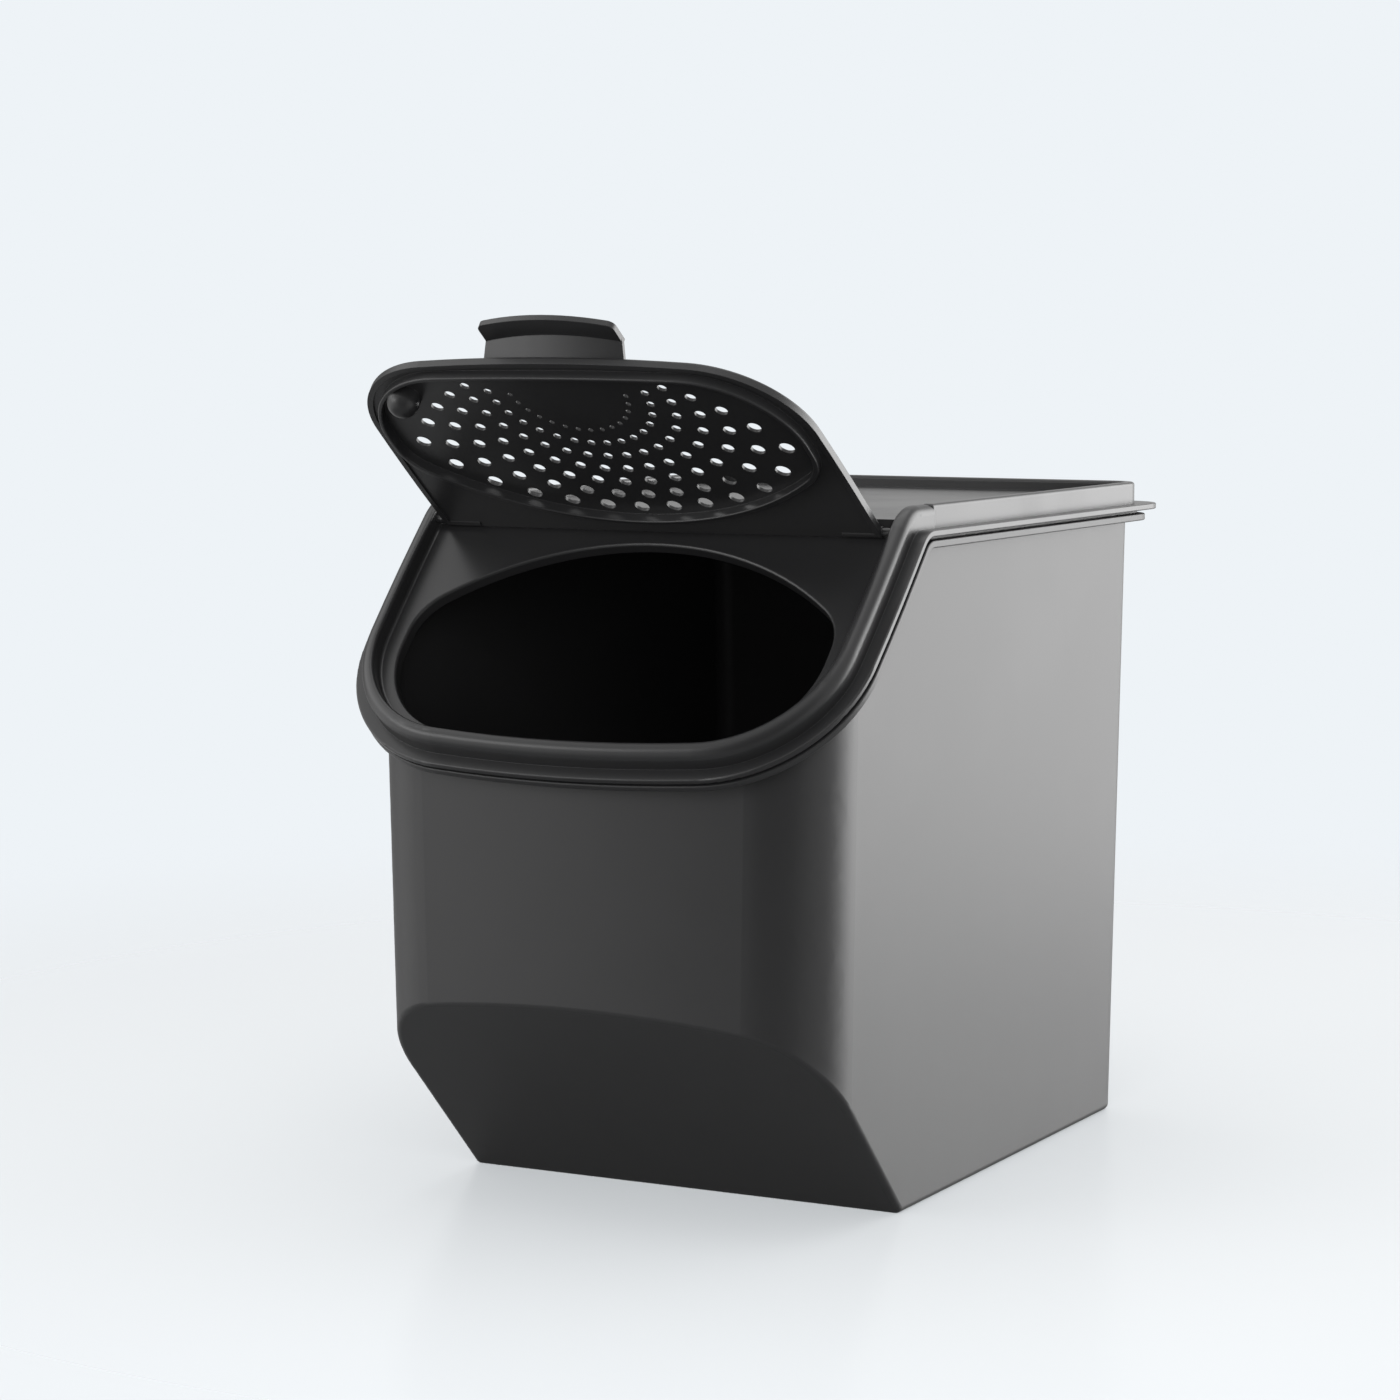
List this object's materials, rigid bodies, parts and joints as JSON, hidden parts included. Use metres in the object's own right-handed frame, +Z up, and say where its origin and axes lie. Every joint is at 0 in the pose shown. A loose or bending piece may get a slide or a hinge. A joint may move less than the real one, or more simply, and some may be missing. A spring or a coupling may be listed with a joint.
{
  "type": "potato storage bin",
  "caption": "Tall kitchen keeper bin for potatoes with a cut-back nose, a push-fit cover with a sloping front, and a vented hinged flap with a grip tab.",
  "frame": {"origin": "centre of the flat underside, on the surface the bin stands on", "axes": "+Z up, -Y out of the front, where the flap opens; X runs across, parallel to the flap's hinge"},
  "size_m": [0.194, 0.3085, 0.3025],
  "materials": {
    "container_plastic": "satin, fine moulded grain, charcoal",
    "cover_plastic": "soft gloss, near black"
  },
  "bodies": {
    "container": {"container": "container_plastic"},
    "cover": {"cover": "cover_plastic"},
    "flap": {"flap": "cover_plastic"}
  },
  "joints": [
    {"name": "cover_lift", "type": "slide", "parent": "container", "child": "cover", "axis": [0, 0, 1], "range_m": [0, 0.1]},
    {"name": "flap_hinge", "type": "hinge", "parent": "cover", "child": "flap", "pos_m": [0, -0.11443, 0.23153], "axis": [1, 0, 0], "range_deg": [-72, 82.9]}
  ]
}
